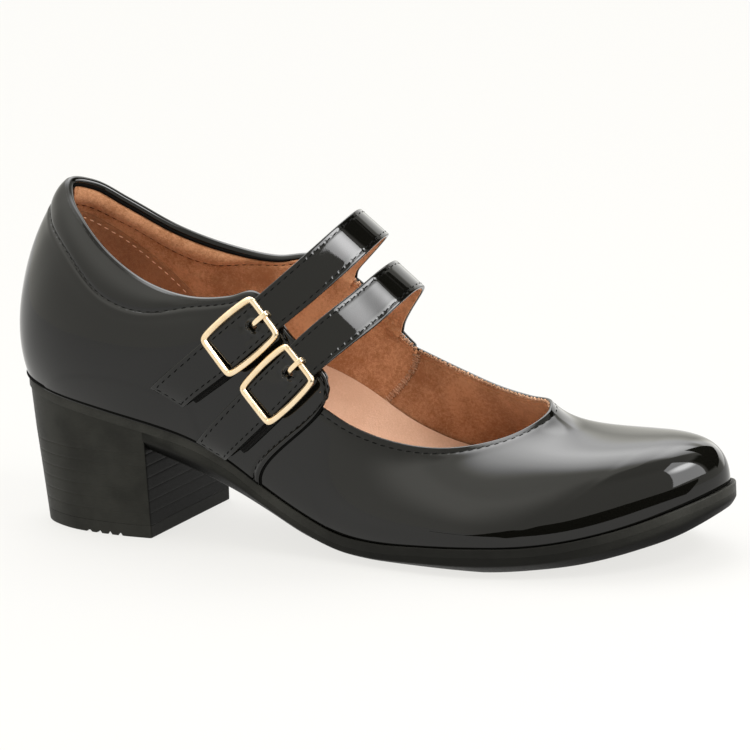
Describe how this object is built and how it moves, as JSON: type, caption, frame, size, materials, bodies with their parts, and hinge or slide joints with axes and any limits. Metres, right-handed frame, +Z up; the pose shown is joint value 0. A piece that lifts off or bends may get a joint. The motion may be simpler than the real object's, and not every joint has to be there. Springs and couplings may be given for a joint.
{
  "type": "block heel pump",
  "caption": "Round-toe block heel pump with two slanted instep straps, each fastened by a barrel-shaped buckle on the outer side.",
  "frame": {"origin": "on the floor, under the middle of the heel: the centre of the heel's flat bottom", "axes": "+X from heel to toe, +Y towards the inner side of this right shoe, +Z up"},
  "size_m": [0.2502, 0.0833, 0.1144],
  "materials": {
    "patent_leather": "black patent, high gloss, soft grey reflections",
    "sole_rubber": "satin black",
    "heel_leather": "satin black stacked layers",
    "lining_suede": "brown suede, footbed lighter tan",
    "gold_metal": "pale gold, polished",
    "elastic_webbing": "matt black"
  },
  "bodies": {
    "root": {"upper": "patent_leather", "outsole": "sole_rubber", "heel_block": "heel_leather", "heel_top_piece": "sole_rubber", "insole": "lining_suede", "strap_rear": "patent_leather", "strap_front": "patent_leather", "buckle_rear": "gold_metal", "buckle_front": "gold_metal", "prong_rear": "gold_metal", "prong_front": "gold_metal", "elastic_rear": "elastic_webbing", "elastic_front": "elastic_webbing"}
  },
  "joints": []
}
